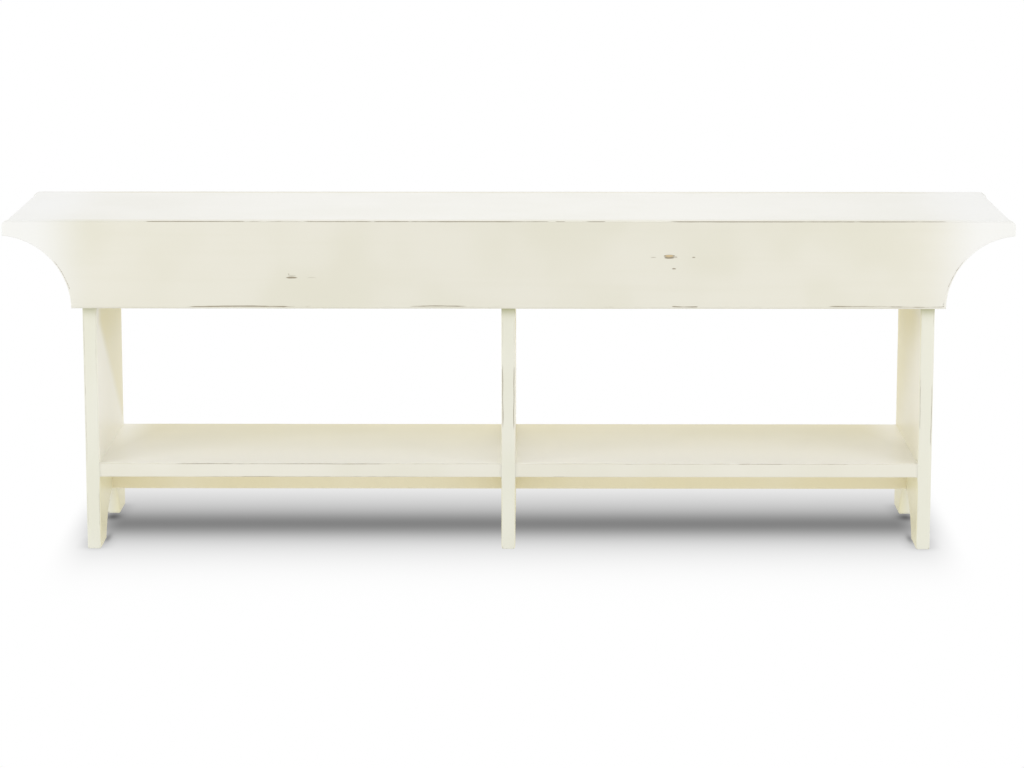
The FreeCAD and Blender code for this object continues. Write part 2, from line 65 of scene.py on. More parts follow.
# Hand work: the depth, number and lengths of a face's ripples, and how uneven an arris is
RIPPLE = 0.00012
RIPPLE_WAVES = 7
RIPPLE_LEAST = 0.05
RIPPLE_MOST = 0.30
UNEVENNESS = 0.06
UNEVEN_WAVES = (7, 13, 23, 37)

# Wear of an arris: its most worn line and its spread in degrees from the face, the rub of the
# face beside it, the least rub of all, and how a worn stretch fades towards its ends
LEG_WEAR_TURN = 72.0
LEG_WEAR_SPREAD = 14.0
RUB_REACH = 0.0014
FACE_RUB = 0.1
LEAST_RUB = 0.45
WORN_WHOLE = 0.8
WORN_FADE = 0.25

# Painted shade in the top corners under the aprons, as an olive tint, and a fainter painted shade
# further down
CORNER_DEPTH = 0.0092
CORNER_POWER = 1.6
CORNER_REACH = 0.010
FAINT_SHADE_DEPTH = 0.055
FAINT_SHADE_SHARE = 0.10

# A painted cast shadow of the seat and aprons on the inner faces: the height and depth where
# its slanting line starts, and the least depth and the slope of the line
SHADOW_LINE_TOP = 0.305
SHADOW_LINE_IN = 0.045
SHADOW_LINE_LEAST = 0.036
SHADOW_LINE_SLOPE = 1.35
# Behind the line: the painted light kept on the lower part, the warm painted shade of the whole
# and that added at the top, and the heights between which the top passes into the lower part
DIM_LIGHT = 0.50
DIM_WARM_SHADE = 0.40
TOP_WARM_SHADE = 0.30
DIM_FROM = 0.315
DIM_TO = 0.245
# The share of the ease over which the painted light and shade fade at the edges of a face
PAINTED_TONE_TO_ARRIS = 0.6

# The feet's inner faces carry an even warm painted shade below the shelf, and are scuffed where they
# touch the floor
FOOT_TOP = 0.101
FOOT_BLEND = 0.018
FOOT_WARM_SHADE = 0.38
FOOT_SCUFF = 0.55
FOOT_SCUFF_REACH = 0.004

# Worn stretches of an arris: middle and half length along it, and how far the paint is gone
MIDDLE_LEG_WORN = ((0.213, 0.042, 0.95), (0.300, 0.020, 0.3))
RIGHT_LEG_INNER_WORN = ((0.205, 0.036, 0.58), (0.045, 0.016, 0.25))
RIGHT_LEG_OUTER_WORN = ((0.188, 0.042, 0.64), (0.330, 0.020, 0.3))
LEFT_LEG_INNER_WORN = ((0.060, 0.030, 0.35), (0.270, 0.024, 0.3))
LEFT_LEG_OUTER_WORN = ((0.225, 0.110, 0.42), (0.055, 0.024, 0.35))
REAR_LEG_WORN = ((0.220, 0.040, 0.6), (0.285, 0.024, 0.7))


def spaced(start, end, step, near=(), reach=0.004, gain=4.0):
    """Stations from start to end, about a step apart and closer at the places in near. They
    are equal steps of the running sum of a density: one, plus a bell curve on each place."""
    line = np.linspace(start, end, FINE_STEPS + 1)
    density = np.ones_like(line)
    for place in near:
        density += gain * np.exp(-(((line - place) / reach) ** 2))
    running = np.concatenate([[0.0], np.cumsum((density[1:] + density[:-1]) / 2)])
    running *= (end - start) / FINE_STEPS
    count = max(3, round(running[-1] / step) + 1)
    return np.interp(np.linspace(0.0, running[-1], count), running, line)


def edge_rows(length, step, near=()):
    """Shares of a board's width for its rows: a step apart, with three rows close to each
    edge and closer rows at the places in near."""
    inner = spaced(0.0, length, step, near)
    inner = inner[(inner > EDGE_ROWS_REACH) & (inner < length - EDGE_ROWS_REACH)]
    close = np.array(EDGE_ROWS)
    return np.concatenate([[0.0], close, inner, length - close[::-1], [length]]) / length


def chain(along, level):
    """Points along a board at one level of its width."""
    return np.stack([along, np.full_like(along, level)], axis=1)


def mitres(outline):
    """How each corner of a closed outline moves when the outline is drawn in by one unit: the
    inward normals of its two sides added up, over one plus their cosine."""
    sides = []
    for side in (outline - np.roll(outline, 1, axis=0), np.roll(outline, -1, axis=0) - outline):
        normal = np.stack([-side[:, 1], side[:, 0]], axis=1)
        sides.append(normal / np.linalg.norm(normal, axis=1, keepdims=True))
    cosine = (sides[0] * sides[1]).sum(axis=1, keepdims=True)
    return (sides[0] + sides[1]) / (1 + cosine)


def ripple(across, along, seed):
    """The slight waves that planing and sanding leave: a sum of sines with random lengths,
    directions and phases."""
    draws = np.random.default_rng(seed)
    height = np.zeros_like(across)
    for _ in range(RIPPLE_WAVES):
        least, most = (RIPPLE_LEAST, 0.0, 0.0), (RIPPLE_MOST, math.pi, 2 * math.pi)
        length, turn, phase = draws.uniform(least, most)
        travel = across * math.cos(turn) + along * math.sin(turn)
        height += np.sin(2 * math.pi * travel / length + phase)
    return RIPPLE * height / RIPPLE_WAVES


def smooth(share):
    """A share held between none and all, eased at both: 3 s^2 - 2 s^3."""
    share = np.clip(share, 0, 1)
    return share * share * (3 - 2 * share)


def worn(place, stretches):
    """How far the paint is gone along an arris: for each stretch, its strength over most of
    its half length, falling away on a bell curve past that."""
    strength = np.zeros_like(place)
    for middle, half, depth in stretches:
        past = np.clip(np.abs(place - middle) - WORN_WHOLE * half, 0, None) / (WORN_FADE * half)
        strength = np.maximum(strength, depth * np.exp(-(past**2)))
    return strength


def rubbed(weight, strength):
    """The rub of the paint: the weight that a point has on its arris, times a share that grows
    evenly from the least rub to one with the strength of the wear."""
    return weight * (LEAST_RUB + (1 - LEAST_RUB) * strength)


def ruled_grid(low, high, rows):
    """The points between two chains, each row at its share of the straight way across."""
    return low[:, None] * (1 - rows)[None, :, None] + high[:, None] * rows[None, :, None]


def plank(name, low, high, rows, axes, faces, arris, marks, seed, dents=()):
    """A board. Each face is a ruled grid between two chains of outline points, drawn in by
    its ease; the points of its sides slide up them, so that none lies past a drawn-in corner.
    The rim is a profile carried round the outline: a quarter round, a flat and a quarter
    round. The quarter round's point at an angle is drawn in by ease * (1 - sin) and lies
    ease * (1 - cos) under the face. Its weight for the wear is a bell curve of its angle about
    the most worn one, and a face has a faint one of the way from its edge. axes are the world
    axes of the outline's two directions and of the thickness, and faces are the two ends of
    the thickness. arris gives the ease, the most worn angle and the spread of the wear at
    outline points of a face. marks gives the paint's marks at world points by name, such as
    how far it is rubbed. Each dent is a bell-shaped hollow in the first face: its two places,
    its two half widths and its depth."""
    count, depth = len(low), len(rows)
    ruled = ruled_grid(low, high, rows)
    ring_i = np.r_[np.arange(count), np.full(depth - 1, count - 1),
                   np.arange(count - 2, -1, -1), np.zeros(depth - 2, int)]
    ring_j = np.r_[np.zeros(count, int), np.arange(1, depth),
                   np.full(count - 1, depth - 1), np.arange(depth - 2, 0, -1)]
    outline = ruled[ring_i, ring_j]
    inward = mitres(outline)
    upward = (high - low) / np.linalg.norm(high - low, axis=1, keepdims=True)
    upward = upward[ring_i]
    top, bottom = faces
    middle, half = (top + bottom) / 2, abs(top - bottom) / 2
    side_signs = (1, -1) if top > bottom else (-1, 1)
    draws = np.random.default_rng(seed)
    around = np.linspace(0, 2 * math.pi, len(outline), endpoint=False)
    uneven = 1 + UNEVENNESS * sum(
        np.sin(wave * around + draws.uniform(0, 2 * math.pi)) for wave in UNEVEN_WAVES
    )

    layers, edge_weights, quarters = [], [], []
    for sign, face in zip(side_signs, faces):
        ease, turn, spread = arris(outline, face)
        peak = np.radians(np.full(len(outline), turn))
        spread = np.radians(np.full(len(outline), spread))
        drawn = (ease * uneven)[:, None]
        grid = ruled.copy()
        inset = outline + drawn * inward
        grid[ring_i, ring_j] = inset
        low_in, high_in = grid[:, 0].copy(), grid[:, -1].copy()
        grid = ruled_grid(low_in, high_in, rows)
        slid = ((grid[ring_i, ring_j] - inset) * upward).sum(axis=1, keepdims=True)
        inset += slid * upward
        grid[ring_i, ring_j] = inset
        quarters.append((sign, drawn, inset - outline, peak, spread))
        layers.append(np.dstack([grid, np.full(grid.shape[:2], sign * half)]).reshape(-1, 3))
        gap_low = np.linalg.norm(grid - low_in[:, None], axis=2)
        gap_high = np.linalg.norm(grid - high_in[:, None], axis=2)
        gap_ends = np.minimum(
            np.linalg.norm(grid - grid[:1], axis=2), np.linalg.norm(grid - grid[-1:], axis=2)
        )
        gap = np.minimum(np.minimum(gap_low, gap_high), gap_ends)
        edge = FACE_RUB * np.exp(-((gap / RUB_REACH) ** 2))
        edge[ring_i, ring_j] += (1 - FACE_RUB) * np.exp(-((peak / spread) ** 2))
        edge_weights.append(edge.ravel())

    band, band_weights = [], []
    angles = np.linspace(0, math.pi / 2, QUARTER_STEPS + 1)[1:]
    for sign, drawn, moved, peak, spread in quarters:
        part, weights = [], []
        for angle in angles:
            flat = outline + moved * (1 - math.sin(angle))
            lift = sign * (half - drawn[:, 0] * (1 - math.cos(angle)))
            part.append(np.column_stack([flat, lift]))
            bell = np.exp(-(((angle - peak) / spread) ** 2))
            weights.append(FACE_RUB + (1 - FACE_RUB) * bell)
        band += part if sign == side_signs[0] else part[::-1]
        band_weights += weights if sign == side_signs[0] else weights[::-1]
    band.insert(QUARTER_STEPS, np.column_stack([outline, np.zeros(len(outline))]))
    band_weights.insert(QUARTER_STEPS, np.zeros(len(outline)))

    local = np.concatenate(layers + band)
    weight = np.concatenate(edge_weights + band_weights)
    local[:, 2] += local[:, 2] / half * ripple(local[:, 0], local[:, 1], seed)
    for place_a, place_b, wide_a, wide_b, deep in dents:
        off_a, off_b = (local[:, 0] - place_a) / wide_a, (local[:, 1] - place_b) / wide_b
        bell = np.exp(-(off_a**2 + off_b**2))
        local[:, 2] -= side_signs[0] * deep * bell * (local[:, 2] * side_signs[0] > 0)
    world = np.empty_like(local)
    world[:, axes[0]], world[:, axes[1]] = local[:, 0], local[:, 1]
    world[:, axes[2]] = middle + local[:, 2]

    index = np.arange(count * depth).reshape(count, depth)
    face_quads = np.stack([index[:-1, :-1], index[1:, :-1], index[1:, 1:], index[:-1, 1:]], axis=-1)
    face_quads = face_quads.reshape(-1, 4)
    ring = index[ring_i, ring_j]
    around_ring = np.arange(len(ring))
    rings = [2 * count * depth + k * len(ring) + around_ring for k in range(len(band))]
    rings = np.array([ring] + rings + [ring + count * depth])
    ahead = np.roll(rings, -1, axis=1)
    rim_quads = np.stack([rings[:-1], rings[1:], ahead[1:], ahead[:-1]], axis=-1).reshape(-1, 4)
    quads = np.concatenate([face_quads, face_quads[:, ::-1] + count * depth, rim_quads])
    corners = world[quads]
    swept = np.cross(corners[:, 1] - corners[:, 0], corners[:, 2] - corners[:, 0])
    swept += np.cross(corners[:, 2] - corners[:, 0], corners[:, 3] - corners[:, 0])
    if (corners[:, 0] * swept).sum() < 0:
        quads = quads[:, ::-1]

    mesh = bpy.data.meshes.new(name)
    mesh.from_pydata(world, [], quads)
    mesh.polygons.foreach_set("use_smooth", np.ones(len(quads), bool))
    for mark, share in marks(world, weight).items():
        layer = mesh.attributes.new(mark, "FLOAT", "POINT")
        layer.data.foreach_set("value", share.astype(np.float32))
    mesh.update()
    piece = bpy.data.objects.new(name, mesh)
    bpy.context.scene.collection.objects.link(piece)
    return piece


def linear(code):
    """The linear colour of an sRGB hex code, with an alpha of one."""
    shares = [int(code[i : i + 2], 16) / 255 for i in (1, 3, 5)]
    return [c / 12.92 if c <= 0.04045 else ((c + 0.055) / 1.055) ** 2.4 for c in shares] + [1.0]


def new_tree(owner):
    """The empty node tree of a material or a world."""
    owner.use_nodes = True
    owner.node_tree.nodes.clear()
    return owner.node_tree


def add_node(tree, kind, inputs=None, **settings):
    """Adds a node, sets its properties, and sets each named input or links it to an output."""
    node = tree.nodes.new(kind)
    for name, setting in settings.items():
        setattr(node, name, setting)
    for name, source in (inputs or {}).items():
        if isinstance(source, bpy.types.NodeSocket):
            tree.links.new(source, node.inputs[name])
        else:
            node.inputs[name].default_value = source
    return node


# Brushed cream paint on pine, satin, over a drab undercoat. It hides the colour of the wood,
# but the growth rings still stand under it as long low ridges, and the brush leaves fine
# lines along the board, drawn coarser than a bristle's so that they show. Painted light lies
# over it as a whiter tint, and painted shade as a warm tint where the bench shades itself and
# an olive tint in the corners under the aprons. At the arrises it is rubbed through to the
# undercoat and the wood.
PAINT = linear("#E7E4D6")
PAINT_DEEP = linear("#E2DFCE")
LIGHT_TINT = linear("#F7F8FA")
WARM_SHADE_TINT = linear("#F4E7A2")
OLIVE_SHADE_TINT = linear("#BDBE93")
UNDERCOAT = linear("#A09681")
RUBBED_PINE = linear("#DAC294")
RING_RUN = 0.420
RING_PITCH = 0.011
RING_RIDGE = 0.00010
RING_DETAIL = 2.0
BRUSH_RUN = 0.110
BRUSH_PITCH = 0.0026
BRUSH_RIDGE = 0.00004
BRUSH_DETAIL = 3.0
FLECK_RUN = 0.016
FLECK_PITCH = 0.0022
FLECK_DETAIL = 3.0
FLECK_SHARE = 0.4
STREAK_ROUGHNESS = 0.55
TONE_PATCH = 0.140
TONE_DETAIL = 2.0
# Where a pattern starts and ends to show, and how strongly it shows
TONE_LIMITS = (0.35, 0.70, 1.0)
RING_LIMITS = (0.45, 0.75, 0.25)
GONE_LIMITS = (0.70, 0.95, 1.0)
BARE_LIMITS = (1.15, 1.35, 1.0)
PAINT_FILM = 0.00025
PAINT_ROUGHNESS = 0.36
WOOD_ROUGHNESS = 0.78
PAINT_IOR = 1.5
# The colour sockets of a mix node by number, because it has others of the same names
MIX_A, MIX_B, MIX_RESULT = 6, 7, 2


def painted_pine(name, grain_axis, light_paint=PAINT, deep_paint=PAINT_DEEP, light_tint=LIGHT_TINT):
    """Cream paint over pine whose grain runs along one world axis. Each layer lies over the ones
    before it by its share: a smooth step of a noise, or a mark of the piece's own. The layers
    are paint, painted light and painted shade, and the rubbed wood."""
    material = bpy.data.materials.new(name)
    tree = new_tree(material)
    place = add_node(tree, "ShaderNodeTexCoord").outputs["Object"]

    streaks = []
    for run, pitch, detail in ((RING_RUN, RING_PITCH, RING_DETAIL),
                               (BRUSH_RUN, BRUSH_PITCH, BRUSH_DETAIL),
                               (FLECK_RUN, FLECK_PITCH, FLECK_DETAIL)):
        scale = [1 / pitch] * 3
        scale[grain_axis] = 1 / run
        mapped = add_node(tree, "ShaderNodeMapping", {"Vector": place, "Scale": scale}).outputs[0]
        noise = {"Vector": mapped, "Scale": 1.0, "Detail": detail, "Roughness": STREAK_ROUGHNESS}
        streaks.append(add_node(tree, "ShaderNodeTexNoise", noise).outputs["Fac"])
    rings, brush, flecks = streaks
    noise = {"Vector": place, "Scale": 1 / TONE_PATCH, "Detail": TONE_DETAIL}
    tone = add_node(tree, "ShaderNodeTexNoise", noise).outputs["Fac"]
    # Marks: the rub of the wear, painted light, painted shade in the corners, and warm painted shade
    rub, fresh, grime, yellow = (
        add_node(tree, "ShaderNodeAttribute", attribute_name=mark).outputs["Fac"]
        for mark in ("rub", "fresh", "grime", "yellow")
    )

    terms = {0: flecks, 1: FLECK_SHARE, 2: rub}
    ragged = add_node(tree, "ShaderNodeMath", terms, operation="MULTIPLY_ADD").outputs[0]
    steps = []
    for source, (low, high, most) in ((tone, TONE_LIMITS), (rings, RING_LIMITS),
                                      (ragged, GONE_LIMITS), (ragged, BARE_LIMITS)):
        limits = {"Value": source, "From Min": low, "From Max": high, "To Max": most}
        step = add_node(tree, "ShaderNodeMapRange", limits, interpolation_type="SMOOTHSTEP")
        steps.append(step.outputs[0])
    deep, ringed, gone, bare = steps
    inputs = {"Factor": bare, MIX_A: UNDERCOAT, MIX_B: RUBBED_PINE}
    wood = add_node(tree, "ShaderNodeMix", inputs, data_type="RGBA").outputs[MIX_RESULT]
    colour = light_paint
    for share, overlay in ((deep, deep_paint), (ringed, deep_paint), (fresh, light_tint),
                        (yellow, WARM_SHADE_TINT), (grime, OLIVE_SHADE_TINT), (gone, wood)):
        inputs = {"Factor": share, MIX_A: colour, MIX_B: overlay}
        colour = add_node(tree, "ShaderNodeMix", inputs, data_type="RGBA").outputs[MIX_RESULT]

    height = 0.0
    for source, ridge in ((gone, -PAINT_FILM), (brush, BRUSH_RIDGE), (rings, RING_RIDGE)):
        terms = {0: source, 1: ridge, 2: height}
        height = add_node(tree, "ShaderNodeMath", terms, operation="MULTIPLY_ADD").outputs[0]
    terms = {0: gone, 1: WOOD_ROUGHNESS - PAINT_ROUGHNESS, 2: PAINT_ROUGHNESS}
    rough = add_node(tree, "ShaderNodeMath", terms, operation="MULTIPLY_ADD").outputs[0]
    bump = add_node(tree, "ShaderNodeBump", {"Height": height, "Distance": 1.0}).outputs[0]
    finish = {"Base Color": colour, "Roughness": rough, "Normal": bump, "IOR": PAINT_IOR}
    shader = add_node(tree, "ShaderNodeBsdfPrincipled", finish)
    add_node(tree, "ShaderNodeOutputMaterial", {"Surface": shader.outputs[0]})
    return material


UPRIGHT_PAINT = linear("#E9E8DA")
UPRIGHT_DEEP = linear("#E5E4D3")
CREAM_LIGHT_TINT = linear("#FDFBF2")

upright_paint = painted_pine("cream_paint_on_upright_pine", Z, UPRIGHT_PAINT, UPRIGHT_DEEP,
                             CREAM_LIGHT_TINT)


def leg(node, seed, corner_shade_depth, left_worn, right_worn, softness, strongest_light, warm_shade_base):
    """One leg. Its outline's lower chain runs flat, over the arch and flat again. The arch is
    the arc of a circle through the feet's inner corners, as high as its rise. A painted cast
    shadow of the seat and aprons falls on the inner faces behind a slanting line, whose
    softness is a length: in front of it painted light is strongest and warm painted shade
    least. The outer faces are plain."""
    start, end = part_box(node)
    thickness = end.x - start.x
    off_middle = abs(start.x + end.x) / 2
    apron_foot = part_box("front_apron")[0].z
    shelves = [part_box("left_shelf"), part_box("right_shelf")]
    half_span = (end.y - start.y) / 2 - FOOT_WIDTH
    radius = (half_span**2 + ARCH_RISE**2) / (2 * ARCH_RISE)
    swing = math.asin(half_span / radius)
    arc = np.linspace(-swing, swing, ARCH_STEPS + 1)
    arch = np.stack([radius * np.sin(arc), radius * np.cos(arc) - radius + ARCH_RISE], axis=1)
    foot = spaced(start.y, -half_span, LEG_STEP)[:-1]
    feet = chain(foot, 0.0)
    low = np.concatenate([feet, arch, feet[::-1] * (-1, 1)])
    high = chain(low[:, 0], end.z)
    rows = edge_rows(end.z, LEG_STEP)

    def arris(outline, face):
        level = outline[:, 1]
        ease = np.where(level > end.z - LEG_EASE, JOINT_EASE, LEG_EASE)
        for shelf_low, shelf_high in shelves:
            if shelf_low.x < face < shelf_high.x:
                past = np.abs(level - (shelf_low.z + shelf_high.z) / 2)
                past = (past - (shelf_high.z - shelf_low.z) / 2) / JOINT_REACH
                ease = JOINT_EASE + (ease - JOINT_EASE) * smooth(past)
        return ease, LEG_WEAR_TURN, LEG_WEAR_SPREAD

    def marks(point, weight):
        x, y, z = point.T
        front = np.where(x > (start.x + end.x) / 2, worn(z, right_worn), worn(z, left_worn))
        upright = np.where(y < 0, front, worn(z, REAR_LEG_WORN))
        scuff = FOOT_SCUFF * np.exp(-((z / FOOT_SCUFF_REACH) ** 2))
        # Painted shade under the aprons: olive in the top corners, fainter further down
        under_apron = np.clip(apron_foot - z, 0, None)
        from_edge = end.y - np.abs(y)
        corner = corner_shade_depth * np.exp(-((under_apron / CORNER_DEPTH) ** CORNER_POWER))
        corner *= np.exp(-((from_edge / CORNER_REACH) ** 2))
        faint_shade = FAINT_SHADE_SHARE * np.exp(-((under_apron / FAINT_SHADE_DEPTH) ** 2))
        on_face = smooth(from_edge / (PAINTED_TONE_TO_ARRIS * LEG_EASE))
        inner = 1.0
        if off_middle > thickness:
            inner = smooth((off_middle - np.abs(x)) / thickness + 0.5)
        # A painted cast shadow: painted light in front of the slanting line, warm painted shade behind
        lit_depth = SHADOW_LINE_IN + (SHADOW_LINE_TOP - z) * SHADOW_LINE_SLOPE
        lit_to = start.y + np.maximum(lit_depth, SHADOW_LINE_LEAST)
        lit = smooth((lit_to - y) / softness + 0.5)
        lower = smooth((DIM_FROM - z) / (DIM_FROM - DIM_TO))
        above = smooth((z - FOOT_TOP) / FOOT_BLEND)
        overlay = strongest_light * (lit + (1 - lit) * DIM_LIGHT * lower)
        yellow = warm_shade_base + (1 - lit) * (DIM_WARM_SHADE + TOP_WARM_SHADE * (1 - lower))
        # Below the shelf the feet take an even warm painted shade
        yellow = above * yellow + (1 - above) * FOOT_WARM_SHADE
        return {"rub": rubbed(weight, np.maximum(upright, scuff)),
                "fresh": overlay * above * on_face * inner,
                "yellow": yellow * on_face * inner,
                "grime": np.maximum(corner, faint_shade * on_face)}

    piece = plank(f"{node}_painted", low, high, rows, (Y, Z, X), (end.x, start.x), arris,
                  marks, seed)
    piece.data.materials.append(upright_paint)
    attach(piece, "root")
    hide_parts(node)


leg("left_end_panel", seed=11, corner_shade_depth=0.58, left_worn=LEFT_LEG_OUTER_WORN,
    right_worn=LEFT_LEG_INNER_WORN, softness=0.05, strongest_light=1.0, warm_shade_base=0.05)
leg("centre_panel", seed=12, corner_shade_depth=1.0, left_worn=MIDDLE_LEG_WORN,
    right_worn=MIDDLE_LEG_WORN, softness=0.10, strongest_light=1.0, warm_shade_base=0.10)
leg("right_end_panel", seed=13, corner_shade_depth=0.88, left_worn=RIGHT_LEG_INNER_WORN,
    right_worn=RIGHT_LEG_OUTER_WORN, softness=0.22, strongest_light=0.9, warm_shade_base=0.20)


# A shelf is one pine board between two legs, its ends glued into dados across their faces.
# It is flush with the edges of the legs, and boots and pails have worn its front arris.
BOARD_EASE = 0.002
BOARD_STEP = 0.005
BOARD_WEAR_TURN = 45.0
BOARD_WEAR_SPREAD = 20.0
SHELF_SUNK_END = 0.0002
# Painted light and shade on the shelf: the step of the painted light as shares of the depth
# from the rear, its share on the front edge, the warm painted shade towards the rear, how far
# the painted light is kept beside an end leg, and the wear of the rear arrises
SHELF_LIGHT_FROM = 0.12
SHELF_LIGHT_TO = 0.80
SHELF_EDGE_LIGHT = 0.12
SHELF_WARM_SHADE = 0.40
SHELF_WARM_SHADE_POWER = 1.5
SHELF_END_REACH = 0.060
SHELF_REAR_WORN = 0.1
LEFT_SHELF_WORN = ((-0.416, 0.039, 0.75), (-0.346, 0.031, 0.50), (-0.243, 0.072, 0.75),
                   (-0.102, 0.048, 0.25))
RIGHT_SHELF_WORN = ((0.231, 0.079, 0.35), (0.346, 0.032, 0.60), (0.409, 0.030, 0.35),
                    (0.4525, 0.0155, 0.45))
# Under the left shelf's front arris: a worn stretch, and a long faint dark stretch that is painted
# shade
LEFT_SHELF_FOOT_WORN_AND_SHADE = ((-0.347, 0.020, 0.75), (-0.270, 0.150, 0.42))
RIGHT_SHELF_FOOT_WORN = ((0.068, 0.007, 0.55),)

shelf_paint = painted_pine("cream_paint_on_shelf_pine", X, light_tint=CREAM_LIGHT_TINT)


def shelf(node, seed, outer_leg, top_worn, foot_marks, light_beside_leg):
    """One shelf. Its mesh ends a little inside the legs' faces, where the dados hide it. Painted
    light thins towards the rear on a smooth step, where warm painted shade grows, but is kept
    beside the end leg."""
    start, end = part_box(node)
    panels = [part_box(outer_leg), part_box("centre_panel")]
    panels.sort(key=lambda panel: panel[0].x)
    left = panels[0][1].x - SHELF_SUNK_END
    right = panels[1][0].x + SHELF_SUNK_END
    outer = left if panels[0][0].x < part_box("centre_panel")[0].x else right
    along = spaced(left, right, BOARD_STEP)
    low, high = chain(along, start.y), chain(along, end.y)
    rows = edge_rows(end.y - start.y, BOARD_STEP)

    def arris(outline, face):
        gap = np.minimum(outline[:, 0] - left, right - outline[:, 0])
        ease = np.where(gap < SHELF_SUNK_END / 2, JOINT_EASE, BOARD_EASE)
        return ease, BOARD_WEAR_TURN, BOARD_WEAR_SPREAD

    def marks(point, weight):
        x, y, z = point.T
        front = np.where(z > (start.z + end.z) / 2, worn(x, top_worn), worn(x, foot_marks))
        # Painted light at the front and beside the end leg, warm painted shade towards the rear
        forward = (end.y - y) / (end.y - start.y)
        overlay = smooth((forward - SHELF_LIGHT_FROM) / (SHELF_LIGHT_TO - SHELF_LIGHT_FROM))
        beside = light_beside_leg * smooth(1 - np.abs(x - outer) / SHELF_END_REACH)
        overlay = np.maximum(overlay, beside)
        overlay = np.where(y < start.y + BOARD_EASE / 2, SHELF_EDGE_LIGHT, overlay)
        yellow = SHELF_WARM_SHADE * (1 - forward) ** SHELF_WARM_SHADE_POWER * (1 - beside)
        return {"rub": rubbed(weight, np.where(y < 0, front, SHELF_REAR_WORN)),
                "fresh": overlay,
                "yellow": np.where(y > end.y - BOARD_EASE / 2, 0, yellow)}

    piece = plank(f"{node}_painted", low, high, rows, (X, Y, Z), (end.z, start.z), arris,
                  marks, seed)
    piece.data.materials.append(shelf_paint)
    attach(piece, "root")
    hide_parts(node)


shelf("left_shelf", seed=21, outer_leg="left_end_panel", top_worn=LEFT_SHELF_WORN,
      foot_marks=LEFT_SHELF_FOOT_WORN_AND_SHADE, light_beside_leg=1.0)
shelf("right_shelf", seed=22, outer_leg="right_end_panel", top_worn=RIGHT_SHELF_WORN,
      foot_marks=RIGHT_SHELF_FOOT_WORN, light_beside_leg=0.85)


# A stretcher is a narrow pine board on edge under each shelf. Its lower arrises are eased,
# screws sunk in its underside hold the shelf down to it, and its cream paint is tinted warmer
# as painted shade from the shelf over it.
STRETCHER_SHADED_PAINT = linear("#EFE7C9")
STRETCHER_SHADED_DEEP = linear("#ECE3C0")

stretcher_shaded_paint = painted_pine("shade_tinted_paint_on_level_pine", X, STRETCHER_SHADED_PAINT, STRETCHER_SHADED_DEEP)


def dress(node, material):
    """Gives a solid of the frame a material in place of its own."""
    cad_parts[node].data.materials.clear()
    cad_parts[node].data.materials.append(material)


for node in ("left_stretcher", "right_stretcher"):
    dress(node, stretcher_shaded_paint)


# A cleat is a square batten of sawn pine in the corner of each leg and the seat. It is
# out of sight, so it is left bare: pale wood with darker, harder bands of growth.
PINE_PALE = linear("#DDBF90")
PINE_DARK = linear("#B78A54")
BAND_PITCH = 0.004
BAND_RUN = 0.160
BAND_DETAIL = 4.0
BAND_BEND = 0.6
BAND_FROM = 0.38
BAND_TO = 0.66
# The saw's marks are drawn coarser than a saw leaves them, so that they show. A wave texture
# turns twenty radians in a unit of its place.
SAW_MARK = 0.01131
SAW_RIDGE = 0.00008
SAW_BEND = 3.0
WAVE_TURN = 20.0
PINE_ROUGHNESS = 0.72


def bare_pine(name, grain_axis):
    """Sawn pine: growth bands are stretched noise, and the saw's marks are a wave that crosses
    them."""
    material = bpy.data.materials.new(name)
    tree = new_tree(material)
    place = add_node(tree, "ShaderNodeTexCoord").outputs["Object"]
    scale = [1 / BAND_PITCH] * 3
    scale[grain_axis] = 1 / BAND_RUN
    mapped = add_node(tree, "ShaderNodeMapping", {"Vector": place, "Scale": scale}).outputs[0]
    noise = {"Vector": mapped, "Scale": 1.0, "Detail": BAND_DETAIL, "Distortion": BAND_BEND}
    bands = add_node(tree, "ShaderNodeTexNoise", noise).outputs["Fac"]
    limits = {"Value": bands, "From Min": BAND_FROM, "From Max": BAND_TO}
    share = add_node(tree, "ShaderNodeMapRange", limits).outputs[0]
    inputs = {"Factor": share, MIX_A: PINE_PALE, MIX_B: PINE_DARK}
    colour = add_node(tree, "ShaderNodeMix", inputs, data_type="RGBA").outputs[MIX_RESULT]
    wave_scale = 2 * math.pi / (WAVE_TURN * SAW_MARK)
    wave = {"Vector": place, "Scale": wave_scale, "Distortion": SAW_BEND}
    saw = add_node(tree, "ShaderNodeTexWave", wave, bands_direction="XYZ"[grain_axis]).outputs["Fac"]
    height = add_node(tree, "ShaderNodeMath", {0: saw, 1: SAW_RIDGE}, operation="MULTIPLY")
    bump = add_node(tree, "ShaderNodeBump", {"Height": height.outputs[0], "Distance": 1.0})
    finish = {"Base Color": colour, "Roughness": PINE_ROUGHNESS, "Normal": bump.outputs[0]}
    shader = add_node(tree, "ShaderNodeBsdfPrincipled", finish)
    add_node(tree, "ShaderNodeOutputMaterial", {"Surface": shader.outputs[0]})
    return material


cleat_wood = bare_pine("sawn_pine", Y)
for node in ("left_seat_cleat", "centre_seat_cleat", "right_seat_cleat"):
    dress(node, cleat_wood)


# The seat is one wide pine board between the aprons, glued and nailed to them at its long
# edges, so that paint closes the joints to a hairline. Its ends stop just short of the tips.
SEAM_EASE = 0.0003
SEAT_ROW_STRETCH = 1.4
SEAT_END_RUB = 0.60
SEAT_SEAM_RUB = 0.1
# Painted light, a whiter tint: its share on the seat and at the seat's ends, and where along it grows
SEAT_LIGHT = 0.38
SEAT_END_LIGHT = 0.66
END_LIGHT_FROM = 0.555
END_LIGHT_TO = 0.650

lengthwise_paint = painted_pine("cream_paint_on_level_pine", X)


